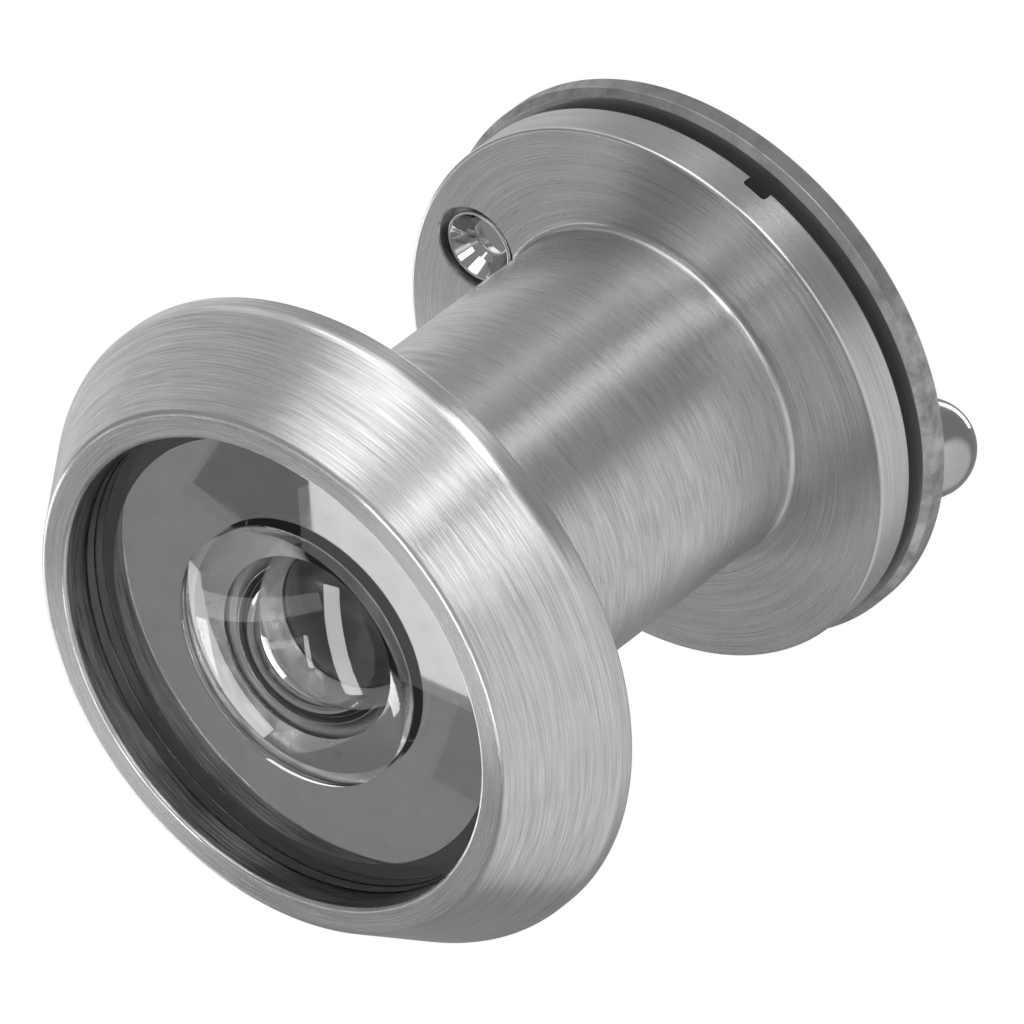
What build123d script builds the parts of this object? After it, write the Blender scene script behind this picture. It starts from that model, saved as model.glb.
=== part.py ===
from build123d import *
import os

# Door viewer. The viewer's axis is Y: outdoors is -Y, indoors is +Y, and the cover's pivot is up (+Z).
# The origin is on the axis, halfway between the two flange faces that grip the door.
# All sizes are in millimetres.

# Driving dimensions
BARREL_RADIUS = 11.9
OUTER_RIM_RADIUS = 22.5
INNER_RIM_RADIUS = 19.0
OUTER_FLANGE_DEPTH = 8.2
INNER_FLANGE_DEPTH = 3.0
GRIP_LENGTH = 29.8
COVER_RADIUS = 19.7
COVER_THICKNESS = 2.1
COVER_GAP = 1.0
PIVOT_HEIGHT = 14.7
KNOB_DROP = 14.4

# Small shared gaps and edge rounds
SEAT_GAP = 0.05
END_GAP = 0.3
CUT_MARGIN = 1.0
FINE_EDGE = 0.25
SOFT_EDGE = 0.5

# Outdoor flange and its recess
OUTER_SEAT = -GRIP_LENGTH / 2
LIP_INNER_RADIUS = 16.6
LIP_OUTER_RADIUS = 18.4
LIP_FRONT = OUTER_SEAT - OUTER_FLANGE_DEPTH
BEVEL_END = LIP_FRONT + 6.3
BEVEL_ROUND = 1.2
RIM_BACK_RADIUS = 21.8
RIM_BACK_DEPTH = 0.5
GLASS_FRONT = LIP_FRONT + 2.1
RECESS_FLOOR = LIP_FRONT + 4.0
GROOVE_FLOOR = LIP_FRONT + 5.0
GASKET_INNER_RADIUS = 15.1

# Screwed tube of the outdoor half, plain at the root of its thread, with a relief round its foot
TUBE_RADIUS = 10.1
RELIEF_RADIUS = BARREL_RADIUS + 0.5
RELIEF_DEPTH = 0.4
TUBE_BORE_RADIUS = 8.9
TUBE_END = OUTER_SEAT + 26.0

# Objective: flat flange, raised centre, boss with a hollow at the back
OBJECTIVE_RADIUS = LIP_INNER_RADIUS - SEAT_GAP
BOSS_RADIUS = TUBE_BORE_RADIUS - SEAT_GAP
BOSS_BACK = LIP_FRONT + 5.8
DOME_RADIUS = 9.0
DOME_TOP = LIP_FRONT + 0.02
PIT_RADIUS = 5.6
PIT_DEPTH = 2.6

# Stack behind the objective
CONE_FRONT = BOSS_BACK
CONE_MOUTH_RADIUS = 8.0
CONE_THROAT_RADIUS = 5.6
CONE_BACK = CONE_FRONT + 3.4
SMALL_LENS_RADIUS = TUBE_BORE_RADIUS - SEAT_GAP
SMALL_LENS_EDGE = 2.6
LENS_DISH_RADIUS = 6.6
LENS_DISH_DEPTH = 1.5
SECOND_FRONT = CONE_BACK
SECOND_BACK = SECOND_FRONT + SMALL_LENS_EDGE
SPACER_LENGTH = 1.8
SPACER_BORE_RADIUS = 7.0
THIRD_FRONT = SECOND_BACK + SPACER_LENGTH
THIRD_BACK = THIRD_FRONT + SMALL_LENS_EDGE
SLEEVE_WALL = 0.9
SLEEVE_PLAY = 0.1
GROOVE_PITCH = 1.6
GROOVE_DEPTH = 0.4
TUBE_RING_DEPTH = 1.6
TUBE_RING_BORE_RADIUS = 6.6
SPANNER_SLOT_WIDTH = 1.2
SPANNER_SLOT_DEPTH = 0.7

# Indoor half
FLANGE_FRONT = GRIP_LENGTH / 2
FLANGE_BACK = FLANGE_FRONT + INNER_FLANGE_DEPTH
ROOT_FILLET = 0.45
BARREL_BORE_RADIUS = 10.8
BARREL_BORE_END = FLANGE_FRONT - 2.6
APERTURE_RADIUS = 5.0
APERTURE_THICKNESS = 0.8
EYEPIECE_RADIUS = 8.6
EYEPIECE_SEAT = FLANGE_FRONT - 1.6
SEAT_OPENING_RADIUS = 7.2
EYE_GASKET_THICKNESS = 0.6
EYEPIECE_EDGE = 1.6
EYEPIECE_CROWN = 0.55
EYEPIECE_CROWN_RADIUS = SEAT_OPENING_RADIUS - 0.1
EYE_RING_BORE_RADIUS = 7.3
EYE_RING_BACK = FLANGE_BACK - 0.95
COIN_SLOT_WIDTH = 1.8
COIN_SLOT_DEPTH = 0.95

# Cover pivot
RIVET_RADIUS = 2.0
RIVET_BORE_RADIUS = 1.45
RIVET_CUP_DEPTH = 0.5
RIVET_CLEARANCE = 0.06
RIVET_SINK_RADIUS = 3.0
RIVET_SINK_DEPTH = 1.3
RIVET_FLARE_RADIUS = 2.65
RIVET_FLARE_LENGTH = 1.0
RIVET_FLARE_WALL = 0.3
RIVET_HEAD_RADIUS = 3.2
RIVET_HEAD_HEIGHT = 0.9
RIVET_HEAD_ROUND = 0.75
WASHER_RADIUS = 3.4

# Cover and knob
COVER_FRONT = FLANGE_BACK + COVER_GAP
COVER_BACK = COVER_FRONT + COVER_THICKNESS
COVER_CHAMFER = 0.45
HEAD_PLAY = 0.08
KNOB_RADIUS = 3.3
KNOB_NECK_RADIUS = 1.7
KNOB_NECK_LENGTH = 2.9
KNOB_COLLAR_RADIUS = 2.4
KNOB_COLLAR_HEIGHT = 0.7
KNOB_SHANK_RADIUS = 1.3
KNOB_TAIL_RADIUS = 2.0
KNOB_TAIL_DEPTH = 0.6


def turned(corners, rounds=()):
    """Solid turned about the viewer's axis from (radius, position) corners; rounds are (corner, radius)."""
    section = make_face(Polyline(*corners, close=True))
    for corner, radius in rounds:
        vertex = section.vertices().sort_by_distance((corner[0], corner[1], 0))[0]
        section = fillet(vertex, radius)
    return revolve(section, Axis.Y)


def ring(inner_radius, outer_radius, front, back):
    """Plain ring on the viewer's axis."""
    return turned([(inner_radius, front), (outer_radius, front), (outer_radius, back), (inner_radius, back)])


def rod(radius, front, back, height=0.0):
    """Cylinder parallel to the viewer's axis, its own axis at this height."""
    place = Pos(0, (front + back) / 2, height) * Rot(-90, 0, 0)
    return place * Cylinder(radius, back - front)


def cone_rod(front_radius, back_radius, front, back, height=0.0):
    """Tapered rod parallel to the viewer's axis, its own axis at this height."""
    place = Pos(0, (front + back) / 2, height) * Rot(-90, 0, 0)
    return place * Cone(front_radius, back_radius, back - front)


def dish_cutter(rim_radius, depth, rim_position, toward):
    """Ball that hollows a lens face to this depth at its centre; toward is the side it goes into."""
    ball_radius = (rim_radius**2 + depth**2) / (2 * depth)
    centre = rim_position + toward * (depth - ball_radius)
    return Pos(0, centre, 0) * Sphere(ball_radius)


def slots_across(width, depth, reach, face, toward):
    """Bar that cuts a slot right across a round face; toward is the side it goes into."""
    return Pos(0, face + toward * depth / 2, 0) * Box(2 * reach, depth, width)


# Outdoor half

def outer_housing():
    """Bevelled outdoor flange, its recess and the screwed tube, turned in one piece."""
    lip_inner = (LIP_INNER_RADIUS, LIP_FRONT)
    lip_outer = (LIP_OUTER_RADIUS, LIP_FRONT)
    rim_front = (OUTER_RIM_RADIUS, BEVEL_END)
    rim_back = (OUTER_RIM_RADIUS, OUTER_SEAT - RIM_BACK_DEPTH)
    relief_floor = OUTER_SEAT - RELIEF_DEPTH
    corners = [
        lip_inner,
        lip_outer,
        rim_front,
        rim_back,
        (RIM_BACK_RADIUS, OUTER_SEAT),
        (RELIEF_RADIUS, OUTER_SEAT),
        (RELIEF_RADIUS, relief_floor),
        (TUBE_RADIUS, relief_floor),
        (TUBE_RADIUS, TUBE_END),
        (TUBE_BORE_RADIUS, TUBE_END),
        (TUBE_BORE_RADIUS, RECESS_FLOOR),
        (GASKET_INNER_RADIUS, RECESS_FLOOR),
        (GASKET_INNER_RADIUS, GROOVE_FLOOR),
        (LIP_INNER_RADIUS, GROOVE_FLOOR),
    ]
    rounds = [(lip_inner, FINE_EDGE), (lip_outer, SOFT_EDGE), (rim_front, BEVEL_ROUND), (rim_back, FINE_EDGE)]
    return turned(corners, rounds)


def objective_gasket():
    """Black rubber ring in the groove round the recess floor, under the objective's edge."""
    return ring(GASKET_INNER_RADIUS, LIP_INNER_RADIUS, RECESS_FLOOR, GROOVE_FLOOR)


def objective_lens():
    """Large glass: a flat flange, a domed centre and a boss with a hollow at the back."""
    corners = [
        (0, GLASS_FRONT),
        (OBJECTIVE_RADIUS, GLASS_FRONT),
        (OBJECTIVE_RADIUS, RECESS_FLOOR),
        (BOSS_RADIUS, RECESS_FLOOR),
        (BOSS_RADIUS, BOSS_BACK),
        (0, BOSS_BACK),
    ]
    dome_ball = dish_cutter(DOME_RADIUS, GLASS_FRONT - DOME_TOP, GLASS_FRONT, -1)
    dome = dome_ball & rod(DOME_RADIUS, DOME_TOP - CUT_MARGIN, GLASS_FRONT)
    pit = dish_cutter(PIT_RADIUS, PIT_DEPTH, BOSS_BACK, -1)
    return turned(corners) + dome - pit


def cone_spacer():
    """Bright conical ring that narrows from the objective to the second lens."""
    corners = [
        (CONE_MOUTH_RADIUS, CONE_FRONT),
        (SMALL_LENS_RADIUS, CONE_FRONT),
        (SMALL_LENS_RADIUS, CONE_BACK),
        (CONE_THROAT_RADIUS, CONE_BACK),
    ]
    return turned(corners)


def small_lens(front):
    """Glass disc hollowed on its indoor side."""
    back = front + SMALL_LENS_EDGE
    blank = rod(SMALL_LENS_RADIUS, front, back)
    return blank - dish_cutter(LENS_DISH_RADIUS, LENS_DISH_DEPTH, back, -1)


def second_lens():
    """First small glass behind the objective."""
    return small_lens(SECOND_FRONT)


def second_spacer():
    """Thin black ring between the two small lenses."""
    return ring(SPACER_BORE_RADIUS, SMALL_LENS_RADIUS, SECOND_BACK, THIRD_FRONT)


def third_lens():
    """Second small glass."""
    return small_lens(THIRD_FRONT)


def baffle_sleeve():
    """Loose black sleeve that fills the tube between the third lens and the end ring."""
    outer_radius = TUBE_BORE_RADIUS - SLEEVE_PLAY
    inner_radius = outer_radius - SLEEVE_WALL
    front = THIRD_BACK + SEAT_GAP
    back = TUBE_END - TUBE_RING_DEPTH - SEAT_GAP
    sleeve = ring(inner_radius, outer_radius, front, back)
    groove_count = int((back - front) / GROOVE_PITCH) - 1
    for index in range(1, groove_count + 1):
        groove_front = front + GROOVE_PITCH * index
        groove_back = groove_front + GROOVE_PITCH / 2
        sleeve -= ring(inner_radius - CUT_MARGIN, inner_radius + GROOVE_DEPTH, groove_front, groove_back)
    return sleeve


def tube_ring():
    """Slotted ring that closes the end of the tube."""
    body = ring(TUBE_RING_BORE_RADIUS, SMALL_LENS_RADIUS, TUBE_END - TUBE_RING_DEPTH, TUBE_END)
    slot = slots_across(SPANNER_SLOT_WIDTH, SPANNER_SLOT_DEPTH, TUBE_RADIUS, TUBE_END, -1)
    return body - slot


# Indoor half

def inner_housing():
    """Indoor flange and smooth barrel, with the eyepiece seat, coin slot and rivet counterbore."""
    barrel_end = OUTER_SEAT + END_GAP
    barrel_front = (BARREL_RADIUS, barrel_end)
    root = (BARREL_RADIUS, FLANGE_FRONT)
    rim_front = (INNER_RIM_RADIUS, FLANGE_FRONT)
    rim_back = (INNER_RIM_RADIUS, FLANGE_BACK)
    corners = [
        (BARREL_BORE_RADIUS, barrel_end),
        barrel_front,
        root,
        rim_front,
        rim_back,
        (EYEPIECE_RADIUS, FLANGE_BACK),
        (EYEPIECE_RADIUS, EYEPIECE_SEAT),
        (SEAT_OPENING_RADIUS, EYEPIECE_SEAT),
        (SEAT_OPENING_RADIUS, BARREL_BORE_END),
        (BARREL_BORE_RADIUS, BARREL_BORE_END),
    ]
    rounds = [(barrel_front, FINE_EDGE), (root, ROOT_FILLET), (rim_front, FINE_EDGE), (rim_back, FINE_EDGE)]
    body = turned(corners, rounds)
    body -= slots_across(COIN_SLOT_WIDTH, COIN_SLOT_DEPTH, INNER_RIM_RADIUS + CUT_MARGIN, FLANGE_BACK, -1)
    sink_floor = FLANGE_FRONT + RIVET_SINK_DEPTH
    body -= rod(RIVET_SINK_RADIUS, FLANGE_FRONT - CUT_MARGIN, sink_floor, PIVOT_HEIGHT)
    body -= rod(RIVET_RADIUS, FLANGE_FRONT, FLANGE_BACK + CUT_MARGIN, PIVOT_HEIGHT)
    return body


def aperture_disc():
    """Black stop at the bottom of the barrel's bore."""
    return ring(APERTURE_RADIUS, BARREL_BORE_RADIUS, BARREL_BORE_END - APERTURE_THICKNESS, BARREL_BORE_END)


def eyepiece_gasket():
    """Thin rubber ring under the eyepiece lens."""
    return ring(SEAT_OPENING_RADIUS, EYEPIECE_RADIUS, EYEPIECE_SEAT, EYEPIECE_SEAT + EYE_GASKET_THICKNESS)


def eyepiece_lens():
    """Eyepiece glass, crowned on both faces."""
    front = EYEPIECE_SEAT + EYE_GASKET_THICKNESS
    back = front + EYEPIECE_EDGE
    lens = rod(EYEPIECE_RADIUS - SEAT_GAP, front, back)
    for rim, toward in ((front, -1), (back, 1)):
        crown_ball = dish_cutter(EYEPIECE_CROWN_RADIUS, EYEPIECE_CROWN, rim, toward)
        outside = rod(EYEPIECE_CROWN_RADIUS, min(rim, rim + toward), max(rim, rim + toward))
        lens += crown_ball & outside
    return lens


def eyepiece_ring():
    """Slotted ring that holds the eyepiece lens in the flange."""
    front = EYEPIECE_SEAT + EYE_GASKET_THICKNESS + EYEPIECE_EDGE
    body = ring(EYE_RING_BORE_RADIUS, EYEPIECE_RADIUS, front, EYE_RING_BACK)
    reach = EYEPIECE_RADIUS + CUT_MARGIN
    return body - slots_across(SPANNER_SLOT_WIDTH, SPANNER_SLOT_DEPTH, reach, EYE_RING_BACK, -1)


def pivot_rivet():
    """Rivet with a hollow flared tail in the counterbore and a round head behind the cover."""
    sink_floor = FLANGE_FRONT + RIVET_SINK_DEPTH
    head_front = COVER_BACK + HEAD_PLAY
    head_back = head_front + RIVET_HEAD_HEIGHT
    body = rod(RIVET_RADIUS, sink_floor, head_front, PIVOT_HEIGHT)
    flare_front = sink_floor - RIVET_FLARE_LENGTH
    body += cone_rod(RIVET_FLARE_RADIUS, RIVET_RADIUS, flare_front, sink_floor, PIVOT_HEIGHT)
    head = rod(RIVET_HEAD_RADIUS, head_front, head_back, PIVOT_HEIGHT)
    head_rim = head.edges().filter_by(GeomType.CIRCLE).sort_by(Axis.Y)[-1]
    body += fillet(head_rim, RIVET_HEAD_ROUND)
    body -= rod(RIVET_BORE_RADIUS, flare_front, sink_floor + RIVET_CUP_DEPTH, PIVOT_HEIGHT)
    mouth_radius = RIVET_FLARE_RADIUS - RIVET_FLARE_WALL
    body -= cone_rod(mouth_radius, RIVET_BORE_RADIUS, flare_front, sink_floor, PIVOT_HEIGHT)
    return body


def pivot_washer():
    """Washer that keeps the cover off the flange."""
    back = COVER_FRONT - SEAT_GAP
    disc = rod(WASHER_RADIUS, FLANGE_BACK, back, PIVOT_HEIGHT)
    return disc - rod(RIVET_RADIUS, FLANGE_BACK, back, PIVOT_HEIGHT)


# Cover

def cover_disc():
    """Flat disc with a chamfered rim, bored for the rivet and the knob's shank."""
    disc = rod(COVER_RADIUS, COVER_FRONT, COVER_BACK)
    disc = chamfer(disc.edges().filter_by(GeomType.CIRCLE), COVER_CHAMFER)
    disc -= rod(RIVET_RADIUS + RIVET_CLEARANCE, COVER_FRONT, COVER_BACK, PIVOT_HEIGHT)
    disc -= rod(KNOB_SHANK_RADIUS, COVER_FRONT, COVER_BACK, -KNOB_DROP)
    tail_floor = COVER_FRONT + KNOB_TAIL_DEPTH
    return disc - cone_rod(KNOB_TAIL_RADIUS, KNOB_SHANK_RADIUS, COVER_FRONT, tail_floor, -KNOB_DROP)


def knob():
    """Ball on a turned neck and collar; its shank is peened over on the hidden side of the cover."""
    ball_centre = COVER_BACK + KNOB_NECK_LENGTH + KNOB_RADIUS
    body = Pos(0, ball_centre, -KNOB_DROP) * Sphere(KNOB_RADIUS)
    body += rod(KNOB_NECK_RADIUS, COVER_BACK, ball_centre, -KNOB_DROP)
    body += rod(KNOB_COLLAR_RADIUS, COVER_BACK, COVER_BACK + KNOB_COLLAR_HEIGHT, -KNOB_DROP)
    body += rod(KNOB_SHANK_RADIUS, COVER_FRONT, COVER_BACK, -KNOB_DROP)
    tail_floor = COVER_FRONT + KNOB_TAIL_DEPTH
    body += cone_rod(KNOB_TAIL_RADIUS, KNOB_SHANK_RADIUS, COVER_FRONT, tail_floor, -KNOB_DROP)
    return body


NODES = {
    "outer_housing": outer_housing,
    "objective_gasket": objective_gasket,
    "objective_lens": objective_lens,
    "cone_spacer": cone_spacer,
    "second_lens": second_lens,
    "second_spacer": second_spacer,
    "third_lens": third_lens,
    "baffle_sleeve": baffle_sleeve,
    "tube_ring": tube_ring,
    "inner_housing": inner_housing,
    "aperture_disc": aperture_disc,
    "eyepiece_gasket": eyepiece_gasket,
    "eyepiece_lens": eyepiece_lens,
    "eyepiece_ring": eyepiece_ring,
    "pivot_rivet": pivot_rivet,
    "pivot_washer": pivot_washer,
    "cover_disc": cover_disc,
    "knob": knob,
}

os.makedirs("parts", exist_ok=True)
for name, build in NODES.items():
    export_step(build(), f"parts/{name}.step")
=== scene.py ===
import math

import bmesh
import bpy
from mathutils import Matrix, Vector


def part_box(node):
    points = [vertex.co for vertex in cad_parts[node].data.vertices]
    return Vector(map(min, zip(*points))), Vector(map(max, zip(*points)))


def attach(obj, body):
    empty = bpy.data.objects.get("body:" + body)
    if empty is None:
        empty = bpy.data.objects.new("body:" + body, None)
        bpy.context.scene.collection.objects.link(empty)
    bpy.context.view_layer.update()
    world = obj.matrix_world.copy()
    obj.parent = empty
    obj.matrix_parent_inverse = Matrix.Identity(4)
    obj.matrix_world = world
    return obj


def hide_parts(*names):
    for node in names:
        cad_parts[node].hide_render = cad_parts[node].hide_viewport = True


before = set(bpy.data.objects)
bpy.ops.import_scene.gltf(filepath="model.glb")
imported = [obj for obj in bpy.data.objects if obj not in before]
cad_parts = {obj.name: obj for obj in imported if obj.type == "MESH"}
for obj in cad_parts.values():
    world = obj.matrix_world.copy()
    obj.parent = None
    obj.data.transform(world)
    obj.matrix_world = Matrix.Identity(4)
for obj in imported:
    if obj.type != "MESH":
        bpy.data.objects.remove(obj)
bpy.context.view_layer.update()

# Door viewer. Its axis is Y: outdoors is -Y, indoors is +Y, and the cover's pivot is up (+Z).
# Sizes are in millimetres, as in the CAD source, and become metres when a mesh is made.
MM = 0.001
SEGMENTS = 256
SMALL_SEGMENTS = 96
SHARP_ANGLE = math.radians(24)
ARC_STEP = math.radians(9)
SUPPORT_GAP = 0.03

# How far the brushing's pattern moves on for each millimetre along the axis, against each millimetre outward
LINE_DRIFT = 1.31


def place_of(node):
    """First and last position of a CAD node along the viewer's axis, in millimetres."""
    low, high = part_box(node)
    return low.y / MM, high.y / MM


def reach_of(node):
    """Radius of a CAD node round its own centre line, in millimetres."""
    low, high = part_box(node)
    return (high.x - low.x) / 2 / MM


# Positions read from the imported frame
LIP_FRONT, TUBE_END = place_of("outer_housing")
DOME_TOP, BOSS_BACK = place_of("objective_lens")
RECESS_FLOOR, GROOVE_FLOOR = place_of("objective_gasket")
BARREL_FRONT, FLANGE_BACK = place_of("inner_housing")
COVER_FRONT, COVER_BACK = place_of("cover_disc")
RIVET_FRONT, RIVET_BACK = place_of("pivot_rivet")
RIM_RADIUS = reach_of("outer_housing")
FLANGE_RADIUS = reach_of("inner_housing")
COVER_RADIUS = reach_of("cover_disc")
KNOB_RADIUS = reach_of("knob")
KNOB_TIP = place_of("knob")[1]

# Sizes that repeat the CAD source
OUTER_SEAT = -14.9
FLANGE_FRONT = 14.9
LIP_INNER_RADIUS = 16.6
LIP_OUTER_RADIUS = 18.4
BEVEL_END = -16.8
GLASS_FRONT = -21.0
GASKET_INNER_RADIUS = 15.1
TUBE_RADIUS = 10.1
TUBE_BORE_RADIUS = 8.9
RELIEF_RADIUS = 12.4
BARREL_RADIUS = 11.9
BARREL_BORE_RADIUS = 10.8
BARREL_BORE_END = 12.3
EYEPIECE_SEAT = 13.3
EYEPIECE_RADIUS = 8.6
SEAT_OPENING_RADIUS = 7.2
PIVOT_HEIGHT = 14.7
KNOB_HEIGHT = -14.4
RELIEF_DEPTH = 0.4
RIM_CHAMFER = 0.7
CONE_MOUTH_RADIUS = 8.0
CONE_THROAT_RADIUS = 5.6
SMALL_LENS_RADIUS = 8.8
DISH_RADIUS = 6.6
DISH_DEPTH = 1.5
EYEPIECE_CROWN = 0.55
COIN_SLOT_WIDTH = 1.8
COIN_SLOT_DEPTH = 0.95
SINK_RADIUS = 3.0
SINK_FLOOR = FLANGE_FRONT + 1.3
RIVET_RADIUS = 2.0
RIVET_BORE_RADIUS = 1.7
RIVET_CUP_DEPTH = 0.5
RIVET_HEAD_RADIUS = 3.2
RIVET_HEAD_HEIGHT = 0.9
COVER_CHAMFER = 0.45
COVER_RIVET_HOLE_RADIUS = 2.06
KNOB_NECK_RADIUS = 1.7
KNOB_SHANK_RADIUS = 1.28
KNOB_TAIL_RADIUS = 1.95
KNOB_COLLAR_RADIUS = 2.4
KNOB_COLLAR_HEIGHT = 0.7
DOME_RADIUS = 9.0
HOLLOW_RADIUS = 5.6
HOLLOW_DEPTH = 2.6

# Screw thread between the tube and the barrel
THREAD_PITCH = 1.0
THREAD_HEIGHT = 0.6
THREAD_STEPS = 64
THREAD_FADE_TURNS = 1.0
BARREL_THREAD_DEPTH = 0.5


# Meshes

def rounded(corners):
    """Profile points from (radius, position, round) corners; the profile closes on itself."""
    points = []
    for index, (radius, position, corner_round) in enumerate(corners):
        here = Vector((radius, position))
        if not corner_round:
            points.append((radius, position))
            continue
        before = (Vector(corners[index - 1][:2]) - here).normalized()
        after = (Vector(corners[(index + 1) % len(corners)][:2]) - here).normalized()
        half = before.angle(after) / 2
        centre = here + (before + after).normalized() * corner_round / math.sin(half)
        start = here + before * corner_round / math.tan(half) - centre
        end = here + after * corner_round / math.tan(half) - centre
        sweep = start.angle(end)
        steps = max(2, math.ceil(sweep / ARC_STEP))
        for step in range(steps + 1):
            share = step / steps
            spoke = start * math.sin((1 - share) * sweep) + end * math.sin(share * sweep)
            spoke /= math.sin(sweep)
            points.append(tuple(centre + spoke))
    return points


def dished(from_radius, to_radius, start, end, steps=48):
    """Profile points of a spherical face between its middle and its edge, in either order."""
    edge = max(from_radius, to_radius)
    middle, rim = (start, end) if from_radius < to_radius else (end, start)
    depth = rim - middle
    ball = (edge**2 + depth**2) / (2 * depth)
    points = []
    for step in range(steps + 1):
        radius = from_radius + (to_radius - from_radius) * step / steps
        points.append((radius, middle + ball - math.copysign(math.sqrt(ball**2 - radius**2), ball)))
    return points


def join_rings(bm, one, two):
    """Faces between two rings of vertices; a ring of one vertex is a pole."""
    count = max(len(one), len(two))
    if count == 1:
        return
    for index in range(count):
        following = (index + 1) % count
        corners = [one[index % len(one)], one[following % len(one)]]
        corners += [two[following % len(two)], two[index % len(two)]]
        bm.faces.new(list(dict.fromkeys(corners)))


def supported(profile, is_closed):
    """The profile with a point just inside each end of its long runs, so that flat faces shade flat."""
    following = profile[1:] + (profile[:1] if is_closed else [])
    points = []
    for here, there in zip(profile, following):
        here, there = Vector(here), Vector(there)
        run = there - here
        points.append(tuple(here))
        if run.length > 10 * SUPPORT_GAP:
            step = run.normalized() * SUPPORT_GAP
            points += [tuple(here + step), tuple(there - step)]
    if not is_closed:
        points.append(tuple(profile[-1]))
    return points


def lathe(bm, profile, height=0.0, segments=SEGMENTS, is_closed=True):
    """Adds a turned surface to bm; the profile is a list of (radius, position)."""
    profile = supported(profile, is_closed)
    rings = []
    for radius, position in profile:
        count = segments if radius > 1e-6 else 1
        ring = []
        for index in range(count):
            angle = 2 * math.pi * index / segments
            x, z = radius * math.sin(angle), height + radius * math.cos(angle)
            ring.append(bm.verts.new((x * MM, position * MM, z * MM)))
        rings.append(ring)
    following = rings[1:] + (rings[:1] if is_closed else [])
    for one, two in zip(rings, following):
        join_rings(bm, one, two)


def helix_ridge(bm, radius, height, start, end):
    """Adds a right-hand thread ridge from start to end; a negative height makes it stand inward."""
    section = ((-0.42, 0.0), (-0.1, 0.86), (0.0, 1.0), (0.1, 0.86), (0.42, 0.0))
    sink = 0.06 if height > 0 else -0.06
    turns = (end - start) / THREAD_PITCH
    count = int(turns * THREAD_STEPS)
    previous = None
    for index in range(count + 1):
        angle = 2 * math.pi * index / THREAD_STEPS
        swell = min(1.0, min(index, count - index) / (THREAD_FADE_TURNS * THREAD_STEPS))
        ring = []
        for offset, share in section:
            at = radius - sink + (height + sink) * share * swell
            position = start + THREAD_PITCH * (angle / (2 * math.pi) + offset)
            position = min(max(position, start), end)
            x, z = at * math.sin(angle), at * math.cos(angle)
            ring.append(bm.verts.new((x * MM, position * MM, z * MM)))
        if previous:
            join_rings(bm, previous, ring)
        else:
            bm.faces.new(ring)
        previous = ring
    bm.faces.new(previous)


def make_piece(name, bm, material, body, node):
    """A finished piece: smooth shading with sharp edges kept, riding on a body in place of a CAD node."""
    bmesh.ops.recalc_face_normals(bm, faces=bm.faces)
    mesh = bpy.data.meshes.new(name)
    bm.to_mesh(mesh)
    bm.free()
    piece = bpy.data.objects.new(name, mesh)
    bpy.context.scene.collection.objects.link(piece)
    mesh.materials.append(material)
    sharpen(mesh)
    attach(piece, body)
    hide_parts(node)
    return piece


def paint_faces(piece, material, is_chosen):
    """Gives another material to the faces whose (radius, position) is chosen."""
    piece.data.materials.append(material)
    index = len(piece.data.materials) - 1
    for face in piece.data.polygons:
        centre = face.center / MM
        if is_chosen(math.hypot(centre.x, centre.z), centre.y):
            face.material_index = index


def sharpen(mesh):
    """Smooth shading, with edges steeper than SHARP_ANGLE left sharp."""
    bm = bmesh.new()
    bm.from_mesh(mesh)
    for face in bm.faces:
        face.smooth = True
    for edge in bm.edges:
        edge.smooth = edge.calc_face_angle(0) < SHARP_ANGLE
    bm.to_mesh(mesh)
    bm.free()


def cut_away(piece, bm):
    """Cuts the shape in bm out of a piece."""
    bmesh.ops.recalc_face_normals(bm, faces=bm.faces)
    mesh = bpy.data.meshes.new("cutter")
    bm.to_mesh(mesh)
    bm.free()
    cutter = bpy.data.objects.new("cutter", mesh)
    bpy.context.scene.collection.objects.link(cutter)
    modifier = piece.modifiers.new("cut", "BOOLEAN")
    modifier.operation = "DIFFERENCE"
    modifier.solver = "EXACT"
    modifier.object = cutter
    depsgraph = bpy.context.evaluated_depsgraph_get()
    result = bpy.data.meshes.new_from_object(piece.evaluated_get(depsgraph))
    piece.modifiers.clear()
    piece.data = result
    bpy.data.objects.remove(cutter)
    sharpen(result)


def bar_cutter(bm, width, depth, face, reach, corner_round):
    """Adds a bar along X with rounded bottom edges, which cuts a slot down from a face into -Y."""
    above = 1.0
    half = width / 2
    outline = []
    for side in (-1, 1):
        for step in range(7):
            angle = math.pi / 2 * (step if side < 0 else 6 - step) / 6
            across = side * (half - corner_round + corner_round * math.cos(angle))
            outline.append((across, face - depth + corner_round * (1 - math.sin(angle))))
    outline.append((half, face + above))
    outline.append((-half, face + above))
    ends = []
    for x in (-reach, reach):
        ends.append([bm.verts.new((x * MM, y * MM, z * MM)) for z, y in outline])
    join_rings(bm, *ends)
    for end in ends:
        bm.faces.new(end)


# Materials

def new_material(name):
    """An empty node material: its node tree and its principled shader."""
    material = bpy.data.materials.new(name)
    material.use_nodes = True
    tree = material.node_tree
    shader = tree.nodes["Principled BSDF"]
    return material, tree, shader


def add_node(tree, kind, **settings):
    """A new node with its settings made."""
    node = tree.nodes.new(kind)
    for key, value in settings.items():
        setattr(node, key, value)
    return node


def maths(tree, operation, *inputs):
    """Output of a maths node fed by numbers or sockets."""
    node = add_node(tree, "ShaderNodeMath", operation=operation)
    for index, value in enumerate(inputs):
        if isinstance(value, (int, float)):
            node.inputs[index].default_value = value
        else:
            tree.links.new(value, node.inputs[index])
    return node.outputs[0]


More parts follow.
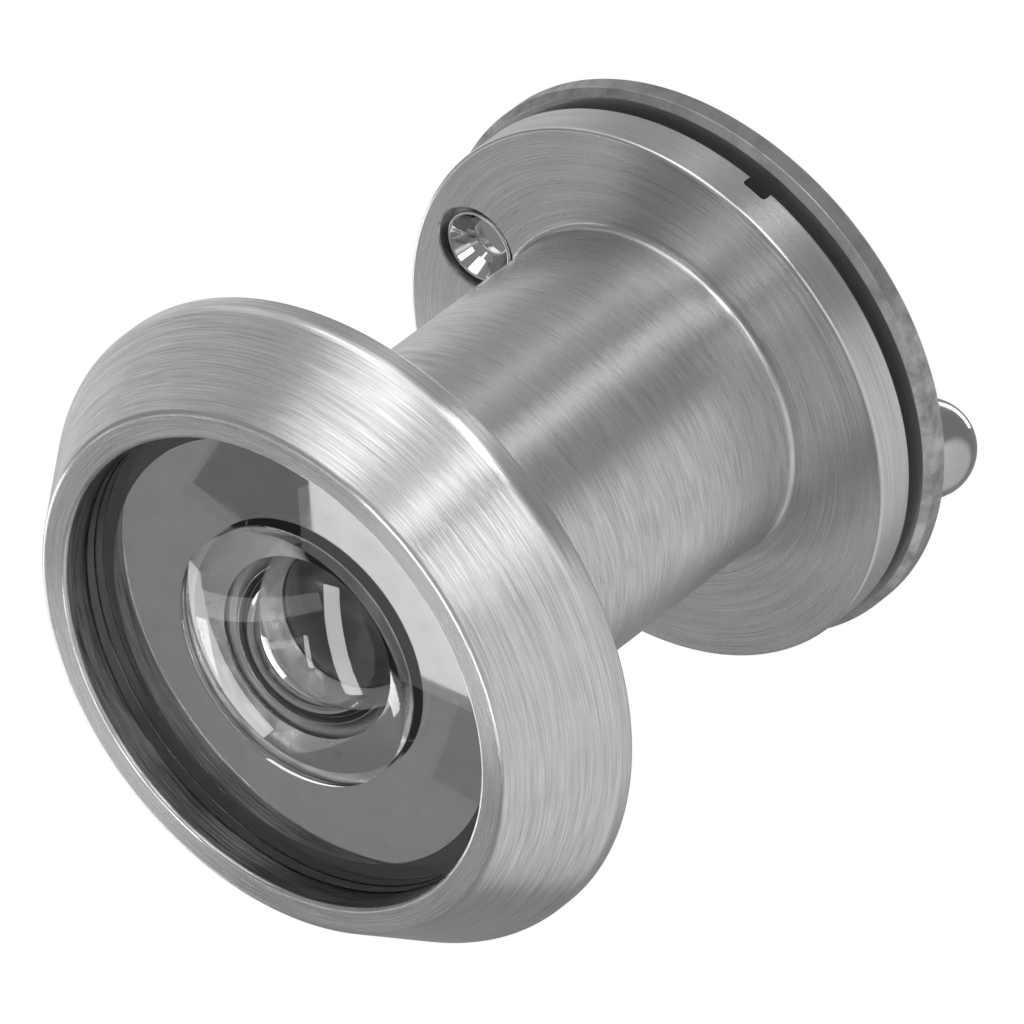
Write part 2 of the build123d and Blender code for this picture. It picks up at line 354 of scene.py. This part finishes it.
def turning_coordinates(tree, across, along):
    """Coordinates that run fast across the turning lines and slowly along them, with no seam."""
    place = add_node(tree, "ShaderNodeTexCoord").outputs["Object"]
    split = add_node(tree, "ShaderNodeSeparateXYZ")
    tree.links.new(place, split.inputs[0])
    x, y, z = split.outputs
    squares = maths(tree, "ADD", maths(tree, "MULTIPLY", x, x), maths(tree, "MULTIPLY", z, z))
    radius = maths(tree, "SQRT", squares)
    safe = maths(tree, "MAXIMUM", radius, 1e-5)
    sweep = maths(tree, "MULTIPLY_ADD", y, LINE_DRIFT, radius)
    join = add_node(tree, "ShaderNodeCombineXYZ")
    tree.links.new(maths(tree, "MULTIPLY", maths(tree, "DIVIDE", x, safe), along), join.inputs[0])
    tree.links.new(maths(tree, "MULTIPLY", sweep, across / MM), join.inputs[1])
    tree.links.new(maths(tree, "MULTIPLY", maths(tree, "DIVIDE", z, safe), along), join.inputs[2])
    return join.outputs[0]


def noise(tree, coordinates, scale=1.0, detail=3.0, roughness=0.6):
    """Value of a noise texture."""
    node = add_node(tree, "ShaderNodeTexNoise")
    node.inputs["Scale"].default_value = scale
    node.inputs["Detail"].default_value = detail
    node.inputs["Roughness"].default_value = roughness
    tree.links.new(coordinates, node.inputs["Vector"])
    return node.outputs["Fac"]


def remap(tree, value, low, high, to_low, to_high):
    """Value stretched from one span to another and held inside it."""
    node = add_node(tree, "ShaderNodeMapRange")
    node.clamp = True
    for name, number in (("From Min", low), ("From Max", high), ("To Min", to_low), ("To Max", to_high)):
        node.inputs[name].default_value = number
    tree.links.new(value, node.inputs["Value"])
    return node.outputs["Result"]


def grey_ramp(tree, value, dark, light):
    """Neutral colour between two grey levels."""
    node = add_node(tree, "ShaderNodeMix", data_type="RGBA")
    tree.links.new(value, node.inputs["Factor"])
    node.inputs["A"].default_value = (*dark, 1)
    node.inputs["B"].default_value = (*light, 1)
    return node.outputs["Result"]


def add_bump(tree, shader, value, strength, distance):
    """Bump from a height value."""
    node = add_node(tree, "ShaderNodeBump")
    node.inputs["Strength"].default_value = strength
    node.inputs["Distance"].default_value = distance * MM
    tree.links.new(value, node.inputs["Height"])
    tree.links.new(node.outputs[0], shader.inputs["Normal"])


def line_tilt(tree, value, amount):
    """Surface normal leaned along the brushing by a value from 0 to 1, so that each line shifts
    its highlight."""
    place = add_node(tree, "ShaderNodeTexCoord").outputs["Object"]
    around = add_node(tree, "ShaderNodeVectorMath", operation="CROSS_PRODUCT")
    around.inputs[1].default_value = (0, 1, 0)
    tree.links.new(place, around.inputs[0])
    unit = add_node(tree, "ShaderNodeVectorMath", operation="NORMALIZE")
    tree.links.new(around.outputs[0], unit.inputs[0])
    turned = add_node(tree, "ShaderNodeVectorTransform", vector_type="VECTOR",
                      convert_from="OBJECT", convert_to="WORLD")
    tree.links.new(unit.outputs[0], turned.inputs[0])
    lean = add_node(tree, "ShaderNodeVectorMath", operation="SCALE")
    tree.links.new(turned.outputs[0], lean.inputs[0])
    tree.links.new(remap(tree, value, 0.25, 0.75, -amount, amount), lean.inputs["Scale"])
    total = add_node(tree, "ShaderNodeVectorMath", operation="ADD")
    tree.links.new(add_node(tree, "ShaderNodeNewGeometry").outputs["Normal"], total.inputs[0])
    tree.links.new(lean.outputs[0], total.inputs[1])
    result = add_node(tree, "ShaderNodeVectorMath", operation="NORMALIZE")
    tree.links.new(total.outputs[0], result.inputs[0])
    return result.outputs[0]


def brushed_metal(name, base=0.64, spread=0.17, roughness=0.25, anisotropy=0.95,
                  across=11.0, along=4.5, tilt=0.06, bump=0.3):
    """Satin metal brushed round the viewer's axis: fine lines, broader streaks and faint smudges."""
    material, tree, shader = new_material(name)
    fine = noise(tree, turning_coordinates(tree, across, along), detail=2.0, roughness=0.6)
    broad = noise(tree, turning_coordinates(tree, across / 7, along / 2), detail=3.0)
    place = add_node(tree, "ShaderNodeTexCoord").outputs["Object"]
    smudge = noise(tree, place, scale=260.0, detail=2.0)
    weighted = maths(tree, "MULTIPLY", fine, 0.65)
    weighted = maths(tree, "MULTIPLY_ADD", broad, 0.25, weighted)
    weighted = maths(tree, "MULTIPLY_ADD", smudge, 0.1, weighted)
    level = remap(tree, weighted, 0.34, 0.66, 0.0, 1.0)
    dark, light = base - spread, base + spread
    colour = grey_ramp(tree, level, (dark, dark * 0.99, dark * 0.98), (light, light * 0.99, light * 0.98))
    tree.links.new(colour, shader.inputs["Base Color"])
    worn = remap(tree, level, 0, 1, roughness + 0.04, roughness - 0.04)
    tree.links.new(worn, shader.inputs["Roughness"])
    shader.inputs["Metallic"].default_value = 1.0
    shader.inputs["Anisotropic"].default_value = anisotropy
    shader.inputs["Anisotropic Rotation"].default_value = 0.25
    tangent = add_node(tree, "ShaderNodeTangent", direction_type="RADIAL", axis="Y")
    tree.links.new(tangent.outputs[0], shader.inputs["Tangent"])
    lines = noise(tree, turning_coordinates(tree, across * 1.3, along * 1.7), detail=3.0, roughness=0.7)
    leaned = line_tilt(tree, lines, tilt)
    node = add_node(tree, "ShaderNodeBump")
    node.inputs["Strength"].default_value = bump
    node.inputs["Distance"].default_value = 0.01 * MM
    tree.links.new(fine, node.inputs["Height"])
    tree.links.new(leaned, node.inputs["Normal"])
    tree.links.new(node.outputs[0], shader.inputs["Normal"])
    return material


def polished_metal(name, base=0.82, roughness=0.06):
    """Bright plated metal with faint smears."""
    material, tree, shader = new_material(name)
    place = add_node(tree, "ShaderNodeTexCoord").outputs["Object"]
    smears = noise(tree, place, scale=600.0, detail=3.0)
    dulled = remap(tree, smears, 0.35, 0.7, roughness * 0.6, roughness * 1.8)
    tree.links.new(dulled, shader.inputs["Roughness"])
    level = remap(tree, smears, 0.3, 0.7, 0.0, 1.0)
    dark, light = base - 0.03, base + 0.03
    tree.links.new(grey_ramp(tree, level, (dark,) * 3, (light,) * 3), shader.inputs["Base Color"])
    shader.inputs["Metallic"].default_value = 1.0
    return material


def worn_metal(name):
    """Dark rough metal with dents, for the cover's rim."""
    material, tree, shader = new_material(name)
    place = add_node(tree, "ShaderNodeTexCoord").outputs["Object"]
    dents = noise(tree, place, scale=500.0, detail=4.0, roughness=0.65)
    tree.links.new(grey_ramp(tree, remap(tree, dents, 0.35, 0.65, 0, 1), (0.28,) * 3, (0.55,) * 3),
                   shader.inputs["Base Color"])
    tree.links.new(remap(tree, dents, 0.35, 0.65, 0.5, 0.3), shader.inputs["Roughness"])
    shader.inputs["Metallic"].default_value = 1.0
    add_bump(tree, shader, dents, 0.3, 0.06)
    return material


def black_metal(name):
    """Matt black anodised metal with turning lines."""
    material, tree, shader = new_material(name)
    lines = noise(tree, turning_coordinates(tree, 5.0, 2.0), detail=2.0)
    tree.links.new(grey_ramp(tree, lines, (0.012,) * 3, (0.03,) * 3), shader.inputs["Base Color"])
    tree.links.new(remap(tree, lines, 0.3, 0.7, 0.35, 0.55), shader.inputs["Roughness"])
    shader.inputs["Metallic"].default_value = 0.6
    add_bump(tree, shader, lines, 0.4, 0.02)
    return material


def soft_black(name, grain=1500.0, light=0.03, roughness=0.7):
    """Matt rubber or plastic with a fine grain."""
    material, tree, shader = new_material(name)
    place = add_node(tree, "ShaderNodeTexCoord").outputs["Object"]
    specks = noise(tree, place, scale=grain, detail=3.0)
    tree.links.new(grey_ramp(tree, specks, (light / 2,) * 3, (light,) * 3), shader.inputs["Base Color"])
    dulled = remap(tree, specks, 0.3, 0.7, roughness - 0.1, roughness + 0.1)
    tree.links.new(dulled, shader.inputs["Roughness"])
    add_bump(tree, shader, specks, 0.3, 0.02)
    return material


def lens_glass(name, tint=0.97, roughness=0.0):
    """Clear or lightly smoked glass."""
    material, tree, shader = new_material(name)
    shader.inputs["Base Color"].default_value = (tint, tint, tint, 1)
    shader.inputs["Roughness"].default_value = roughness
    shader.inputs["IOR"].default_value = 1.52
    shader.inputs["Transmission Weight"].default_value = 1.0
    return material


SATIN = brushed_metal("satin_metal")
SATIN_FLANGE = brushed_metal("satin_flange", spread=0.14, along=2.0, tilt=0.04)
SATIN_COVER = brushed_metal("satin_cover", base=0.5, spread=0.1, roughness=0.4,
                            anisotropy=0.7, along=8.0)
CHROME = polished_metal("polished_metal", base=0.66)
FLOOR_METAL = polished_metal("recess_metal", base=0.66, roughness=0.012)
CONE_METAL = polished_metal("cone_metal", base=0.75, roughness=0.4)
DARK_WALL = brushed_metal("dark_wall", base=0.2, spread=0.18, roughness=0.3, tilt=0.1)
KNOB_METAL = polished_metal("knob_metal", base=0.5, roughness=0.12)
WORN_RIM = worn_metal("worn_rim")
BLACK = black_metal("black_metal")
RUBBER = soft_black("black_rubber", light=0.06)
PLASTIC = soft_black("washer_plastic", light=0.06, roughness=0.5)
GLASS = lens_glass("lens_glass")
INNER_GLASS = lens_glass("inner_lens_glass", tint=0.6, roughness=0.2)


# Outdoor half

def make_outer_housing():
    """Bevelled flange with its recess, and the tube with its outside thread."""
    bm = bmesh.new()
    profile = rounded([
        (LIP_INNER_RADIUS, LIP_FRONT, 0.25),
        (LIP_OUTER_RADIUS, LIP_FRONT, 0.5),
        (RIM_RADIUS, BEVEL_END, 1.2),
        (RIM_RADIUS, OUTER_SEAT - 0.5, 0.25),
        (RIM_RADIUS - RIM_CHAMFER, OUTER_SEAT, 0.1),
        (RELIEF_RADIUS, OUTER_SEAT, 0.08),
        (RELIEF_RADIUS, OUTER_SEAT - RELIEF_DEPTH, 0.05),
        (TUBE_RADIUS, OUTER_SEAT - RELIEF_DEPTH, 0.1),
        (TUBE_RADIUS, TUBE_END, 0.25),
        (TUBE_BORE_RADIUS, TUBE_END, 0.08),
        (TUBE_BORE_RADIUS, RECESS_FLOOR, 0.08),
        (GASKET_INNER_RADIUS, RECESS_FLOOR, 0.08),
        (GASKET_INNER_RADIUS, GROOVE_FLOOR, 0.0),
        (LIP_INNER_RADIUS, GROOVE_FLOOR, 0.0),
    ])
    lathe(bm, profile)
    helix_ridge(bm, TUBE_RADIUS, THREAD_HEIGHT, OUTER_SEAT + 1.2, TUBE_END - 0.3)
    piece = make_piece("outdoor_flange", bm, SATIN, "outdoor_half", "outer_housing")
    paint_faces(piece, FLOOR_METAL, is_recess_floor)
    paint_faces(piece, DARK_WALL, is_recess_wall)
    return piece


def is_recess_floor(radius, position):
    """True on the smooth face under the large glass."""
    return radius < GASKET_INNER_RADIUS and abs(position - RECESS_FLOOR) < 0.1


def is_recess_wall(radius, position):
    """True on the wall round the recess, below the lip's round."""
    return GASKET_INNER_RADIUS < radius < LIP_INNER_RADIUS + 0.02 and position > LIP_FRONT + 0.3


def is_cover_rim(radius, position):
    """True on the cover's edge and chamfers."""
    return radius > COVER_RADIUS - COVER_CHAMFER - 0.03


def is_barrel(radius, position):
    """True on the barrel, inside and out."""
    return radius < BARREL_RADIUS + 0.3 and position < FLANGE_FRONT


def make_objective_lens():
    """Large glass: flat flange, low dome and a boss with a hollow at the back."""
    bm = bmesh.new()
    edge = LIP_INNER_RADIUS - 0.05
    floor = RECESS_FLOOR - 0.03
    boss = TUBE_BORE_RADIUS - 0.05
    dome = dished(0.0, DOME_RADIUS, DOME_TOP, GLASS_FRONT)
    flange = rounded([
        (DOME_RADIUS, GLASS_FRONT, 0.0),
        (edge, GLASS_FRONT, 0.12),
        (edge, floor, 0.1),
        (boss, floor, 0.1),
        (boss, BOSS_BACK, 0.05),
        (HOLLOW_RADIUS, BOSS_BACK, 0.0),
    ])
    hollow = dished(HOLLOW_RADIUS, 0.0, BOSS_BACK, BOSS_BACK - HOLLOW_DEPTH)
    lathe(bm, dome + flange[1:-1] + hollow, is_closed=False)
    return make_piece("objective_glass", bm, GLASS, "outdoor_half", "objective_lens")


def make_cone_spacer():
    """Bright conical ring behind the objective."""
    bm = bmesh.new()
    front, back = place_of("cone_spacer")
    profile = rounded([
        (CONE_MOUTH_RADIUS, front + 0.03, 0.1),
        (SMALL_LENS_RADIUS, front + 0.03, 0.05),
        (SMALL_LENS_RADIUS, back - 0.02, 0.05),
        (CONE_THROAT_RADIUS, back - 0.02, 0.1),
    ])
    lathe(bm, profile)
    return make_piece("cone_ring", bm, CONE_METAL, "outdoor_half", "cone_spacer")


def make_small_lens(node):
    """Glass disc hollowed on its indoor side."""
    bm = bmesh.new()
    front, back = place_of(node)
    front += 0.02
    edge = reach_of(node) - 0.02
    dish = dished(DISH_RADIUS, 0.0, back, back - DISH_DEPTH, steps=20)
    profile = [(0.0, front)] + rounded([
        (0.0, front, 0.0),
        (edge, front, 0.1),
        (edge, back, 0.1),
        (DISH_RADIUS, back, 0.0),
    ])[1:-1] + dish
    lathe(bm, profile, segments=SMALL_SEGMENTS, is_closed=False)
    return make_piece(node + "_glass", bm, INNER_GLASS, "outdoor_half", node)


# Indoor half

def make_inner_housing():
    """Flange and smooth barrel, with the inside thread, eyepiece seat, coin slot and rivet counterbore."""
    bm = bmesh.new()
    thread_root = BARREL_BORE_RADIUS + BARREL_THREAD_DEPTH
    profile = rounded([
        (thread_root, BARREL_FRONT, 0.15),
        (BARREL_RADIUS, BARREL_FRONT, 0.25),
        (BARREL_RADIUS, FLANGE_FRONT, 0.45),
        (FLANGE_RADIUS, FLANGE_FRONT, 0.25),
        (FLANGE_RADIUS, FLANGE_BACK, 0.25),
        (EYEPIECE_RADIUS, FLANGE_BACK, 0.1),
        (EYEPIECE_RADIUS, EYEPIECE_SEAT, 0.05),
        (SEAT_OPENING_RADIUS, EYEPIECE_SEAT, 0.08),
        (SEAT_OPENING_RADIUS, BARREL_BORE_END, 0.08),
        (BARREL_BORE_RADIUS, BARREL_BORE_END, 0.05),
        (BARREL_BORE_RADIUS, BARREL_BORE_END - 1.6, 0.0),
        (thread_root, BARREL_BORE_END - 2.0, 0.0),
    ])
    lathe(bm, profile)
    piece = make_piece("indoor_flange", bm, SATIN_FLANGE, "indoor_half", "inner_housing")
    slot_cutter = bmesh.new()
    bar_cutter(slot_cutter, COIN_SLOT_WIDTH, COIN_SLOT_DEPTH, FLANGE_BACK, FLANGE_RADIUS + 1, 0.25)
    cut_away(piece, slot_cutter)
    sink = bmesh.new()
    mouth_radius = SINK_RADIUS + 0.12
    outline = [
        (0, FLANGE_FRONT - 1),
        (mouth_radius, FLANGE_FRONT - 1),
        (mouth_radius, FLANGE_FRONT - 0.02),
        (SINK_RADIUS, FLANGE_FRONT + 0.1),
        (SINK_RADIUS, SINK_FLOOR),
        (RIVET_RADIUS, SINK_FLOOR),
        (RIVET_RADIUS, FLANGE_BACK + 1),
        (0, FLANGE_BACK + 1),
    ]
    lathe(sink, outline, PIVOT_HEIGHT, SMALL_SEGMENTS, False)
    cut_away(piece, sink)
    ridge = bmesh.new()
    ridge.from_mesh(piece.data)
    helix_ridge(ridge, thread_root, -BARREL_THREAD_DEPTH, BARREL_FRONT + 0.5, BARREL_BORE_END - 2.2)
    ridge.to_mesh(piece.data)
    ridge.free()
    sharpen(piece.data)
    paint_faces(piece, SATIN, is_barrel)
    return piece


def make_eyepiece_lens():
    """Eyepiece glass, crowned on both faces."""
    bm = bmesh.new()
    front, back = place_of("eyepiece_lens")
    edge = reach_of("eyepiece_lens") - 0.02
    rim = SEAT_OPENING_RADIUS - 0.1
    crown = EYEPIECE_CROWN
    first = dished(0.0, rim, front, front + crown, steps=16)
    last = dished(rim, 0.0, back - crown, back, steps=16)
    side = rounded([(rim, front + crown, 0.0), (edge, front + crown, 0.1), (edge, back - crown, 0.1),
                    (rim, back - crown, 0.0)])[1:-1]
    lathe(bm, first + side + last, segments=SMALL_SEGMENTS, is_closed=False)
    return make_piece("eyepiece_glass", bm, GLASS, "indoor_half", "eyepiece_lens")


def make_rivet():
    """Rivet with a hollow flared tail in the counterbore and a round head behind the cover."""
    bm = bmesh.new()
    head_front = RIVET_BACK - RIVET_HEAD_HEIGHT
    outline = rounded([
        (0.0, RIVET_BACK, 0.0),
        (RIVET_HEAD_RADIUS, RIVET_BACK, 0.75),
        (RIVET_HEAD_RADIUS, head_front, 0.05),
        (RIVET_RADIUS, head_front, 0.05),
        (RIVET_RADIUS, SINK_FLOOR, 0.1),
        (2.65, RIVET_FRONT, 0.12),
        (2.35, RIVET_FRONT, 0.12),
        (RIVET_BORE_RADIUS, SINK_FLOOR, 0.4),
        (RIVET_BORE_RADIUS - 0.4, SINK_FLOOR + RIVET_CUP_DEPTH, 0.3),
        (0.0, SINK_FLOOR + RIVET_CUP_DEPTH, 0.0),
    ])
    lathe(bm, outline, PIVOT_HEIGHT, SMALL_SEGMENTS, False)
    return make_piece("rivet", bm, CHROME, "indoor_half", "pivot_rivet")


# Cover

def make_cover():
    """Disc with a chamfered rim, bored for the rivet and for the knob's shank."""
    bm = bmesh.new()
    outline = rounded([
        (0.0, COVER_FRONT, 0.0),
        (COVER_RADIUS - COVER_CHAMFER, COVER_FRONT, 0.06),
        (COVER_RADIUS, COVER_FRONT + COVER_CHAMFER, 0.06),
        (COVER_RADIUS, COVER_BACK - COVER_CHAMFER, 0.06),
        (COVER_RADIUS - COVER_CHAMFER, COVER_BACK, 0.06),
        (0.0, COVER_BACK, 0.0),
    ])
    lathe(bm, outline, is_closed=False)
    piece = make_piece("cover_plate", bm, SATIN_COVER, "cover", "cover_disc")
    shank_hole_radius = KNOB_SHANK_RADIUS + 0.02
    for radius, height in ((COVER_RIVET_HOLE_RADIUS, PIVOT_HEIGHT), (shank_hole_radius, KNOB_HEIGHT)):
        cutter = bmesh.new()
        front, back = COVER_FRONT - 1, COVER_BACK + 1
        outline = [(0, front), (radius, front), (radius, back), (0, back)]
        lathe(cutter, outline, height, SMALL_SEGMENTS, False)
        cut_away(piece, cutter)
    paint_faces(piece, WORN_RIM, is_cover_rim)
    return piece


def make_knob():
    """Ball on a turned neck and collar."""
    bm = bmesh.new()
    centre = KNOB_TIP - KNOB_RADIUS
    neck = KNOB_NECK_RADIUS
    collar_back = COVER_BACK + KNOB_COLLAR_HEIGHT
    start = math.asin(neck / KNOB_RADIUS)
    ball = []
    for step in range(33):
        angle = start + (math.pi - start) * step / 32
        ball.append((KNOB_RADIUS * math.sin(angle), centre - KNOB_RADIUS * math.cos(angle)))
    ball[-1] = (0.0, KNOB_TIP)
    foot = rounded([
        (0.0, COVER_FRONT + 0.02, 0.0),
        (KNOB_TAIL_RADIUS, COVER_FRONT + 0.02, 0.0),
        (KNOB_SHANK_RADIUS, COVER_FRONT + 0.6, 0.0),
        (KNOB_SHANK_RADIUS, COVER_BACK, 0.0),
        (KNOB_COLLAR_RADIUS, COVER_BACK, 0.1),
        (KNOB_COLLAR_RADIUS, collar_back, 0.15),
        (neck, collar_back, 0.2),
        (neck, ball[0][1], 0.0),
    ])[:-1]
    lathe(bm, foot + ball, KNOB_HEIGHT, SMALL_SEGMENTS, False)
    return make_piece("knob_ball", bm, KNOB_METAL, "cover", "knob")


def paint_node(node, material):
    """A CAD node whose shape is right keeps it, with a better material."""
    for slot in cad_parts[node].material_slots:
        slot.material = material


make_outer_housing()
make_objective_lens()
make_cone_spacer()
make_small_lens("second_lens")
make_small_lens("third_lens")
make_inner_housing()
make_eyepiece_lens()
make_rivet()
make_cover()
make_knob()
for node in ("objective_gasket", "eyepiece_gasket"):
    paint_node(node, RUBBER)
for node in ("second_spacer", "baffle_sleeve", "tube_ring", "aperture_disc", "eyepiece_ring"):
    paint_node(node, BLACK)
paint_node("pivot_washer", PLASTIC)


# Camera and light

LIGHT_DISTANCE = 0.6
CARD_GAP = 0.001
AMBIENT = 0.3
FLOOR_HEIGHT = -0.3
FLOOR_REACH = 0.55
FLOOR_GLOW = 0.15


def add_camera():
    """Long lens in front of the viewer, to its right and below it, and rolled."""
    camera = bpy.data.cameras.new("camera")
    camera.lens = 492.2
    camera.clip_end = 10.0
    holder = bpy.data.objects.new("camera", camera)
    holder.location = (0.6476, -0.5612, -0.2186)
    holder.rotation_euler = [math.radians(a) for a in (111.18, 47.06, 64.92)]
    bpy.context.scene.collection.objects.link(holder)
    bpy.context.scene.camera = holder


def softbox(name, across, up, half_width, half_height, roll, radiance):
    """Soft rectangular light aimed at the viewer. Its place and half sizes are angles in degrees,
    seen from the viewer: across is to the right of the camera, and up is above it."""
    camera = bpy.context.scene.camera.matrix_world.to_3x3()
    turn = Matrix.Rotation(math.radians(across), 3, "Y") @ Matrix.Rotation(math.radians(-up), 3, "X")
    frame_of_light = camera @ turn @ Matrix.Rotation(math.radians(roll), 3, "Z")
    light = bpy.data.lights.new(name, "AREA")
    light.shape = "RECTANGLE"
    light.size = 2 * LIGHT_DISTANCE * math.tan(math.radians(half_width))
    light.size_y = 2 * LIGHT_DISTANCE * math.tan(math.radians(half_height))
    light.energy = radiance * math.pi * light.size * light.size_y
    holder = bpy.data.objects.new(name, light)
    holder.matrix_world = frame_of_light.to_4x4()
    holder.location = frame_of_light @ Vector((0, 0, LIGHT_DISTANCE))
    holder.visible_camera = False
    bpy.context.scene.collection.objects.link(holder)


def add_lights():
    """Large soft lights round the viewer, as in a light tent with gaps between its panels."""
    softbox("key_light", 22, 37, 7, 18, -25, 5)
    softbox("top_light", -20, 55, 26, 18, -70, 1.5)
    softbox("right_strip", 25, -8, 6, 24, 30, 3)
    softbox("left_strip", -60, -37, 3, 18, -20, 9)
    softbox("left_rear_light", -130, -20, 8, 16, -30, 3)
    softbox("right_rear_light", 148, 32, 8, 18, -25, 2.5)
    softbox("left_band", -90, -22, 28, 3, -10, 1.5)
    softbox("rear_fill", -135, 42, 45, 20, 55, 0.5)


def add_card(name, corners, radiance, distance):
    """Flat card where the recess floor's reflection looks, seen from the camera.
    Its corners are in millimetres across and up from the middle of that reflection."""
    to_camera = bpy.context.scene.camera.location.normalized()
    away = Vector((-to_camera.x, to_camera.y, -to_camera.z))
    across = Vector((0, 0, 1)).cross(away).normalized()
    up = away.cross(across)
    bm = bmesh.new()
    bm.faces.new([bm.verts.new(away * distance + (across * a + up * b) * MM) for a, b in corners])
    mesh = bpy.data.meshes.new(name)
    bm.to_mesh(mesh)
    bm.free()
    card = bpy.data.objects.new(name, mesh)
    card.visible_camera = False
    bpy.context.scene.collection.objects.link(card)
    material, tree, shader = new_material(name)
    shader.inputs["Base Color"].default_value = (0, 0, 0, 1)
    shader.inputs["Emission Color"].default_value = (1, 1, 1, 1)
    shader.inputs["Emission Strength"].default_value = radiance
    mesh.materials.append(material)


def add_cards():
    """A white card and two darker ones, which the flat faces behind the large glass mirror."""
    add_card("white_card", ((19, 10), (8, -1), (14, -21), (36, 4)), 0.95, LIGHT_DISTANCE)
    add_card("dark_card", ((19, 10), (12, 3), (11, 19), (24, 21)), 0.15, LIGHT_DISTANCE - CARD_GAP)
    add_card("grey_card", ((4, -20), (12, -17), (15, -25), (6, -28)), 0.22, LIGHT_DISTANCE - 2 * CARD_GAP)


def add_world():
    """White surroundings that light the viewer dimly, so that the lights shape it."""
    world = bpy.data.worlds.new("world")
    world.use_nodes = True
    tree = world.node_tree
    background = tree.nodes["Background"]
    background.inputs["Color"].default_value = (1, 1, 1, 1)
    seen = add_node(tree, "ShaderNodeLightPath").outputs["Is Camera Ray"]
    strength = maths(tree, "MULTIPLY_ADD", seen, 1.0 - AMBIENT, AMBIENT)
    tree.links.new(strength, background.inputs["Strength"])
    bpy.context.scene.world = world


def add_floor():
    """Plain pale glowing floor under the viewer, which fades out at its rim."""
    bm = bmesh.new()
    ring = [bm.verts.new((FLOOR_REACH * math.sin(a), FLOOR_REACH * math.cos(a), FLOOR_HEIGHT))
            for a in (2 * math.pi * i / 64 for i in range(64))]
    bm.faces.new(ring)
    mesh = bpy.data.meshes.new("floor")
    bm.to_mesh(mesh)
    bm.free()
    floor = bpy.data.objects.new("floor", mesh)
    bpy.context.scene.collection.objects.link(floor)
    material, tree, shader = new_material("pale_floor")
    place = add_node(tree, "ShaderNodeTexCoord").outputs["Object"]
    distance = add_node(tree, "ShaderNodeVectorMath", operation="DISTANCE")
    distance.inputs[1].default_value = (0, 0, FLOOR_HEIGHT)
    tree.links.new(place, distance.inputs[0])
    fade = remap(tree, distance.outputs["Value"], FLOOR_REACH * 0.6, FLOOR_REACH, 1.0, 0.0)
    shader.inputs["Base Color"].default_value = (0.8, 0.8, 0.8, 1)
    shader.inputs["Roughness"].default_value = 0.8
    shader.inputs["Emission Color"].default_value = (1, 1, 1, 1)
    shader.inputs["Emission Strength"].default_value = FLOOR_GLOW
    tree.links.new(fade, shader.inputs["Alpha"])
    mesh.materials.append(material)


add_camera()
bpy.context.view_layer.update()
add_lights()
add_cards()
add_world()
add_floor()
bpy.context.scene.view_settings.view_transform = "Standard"
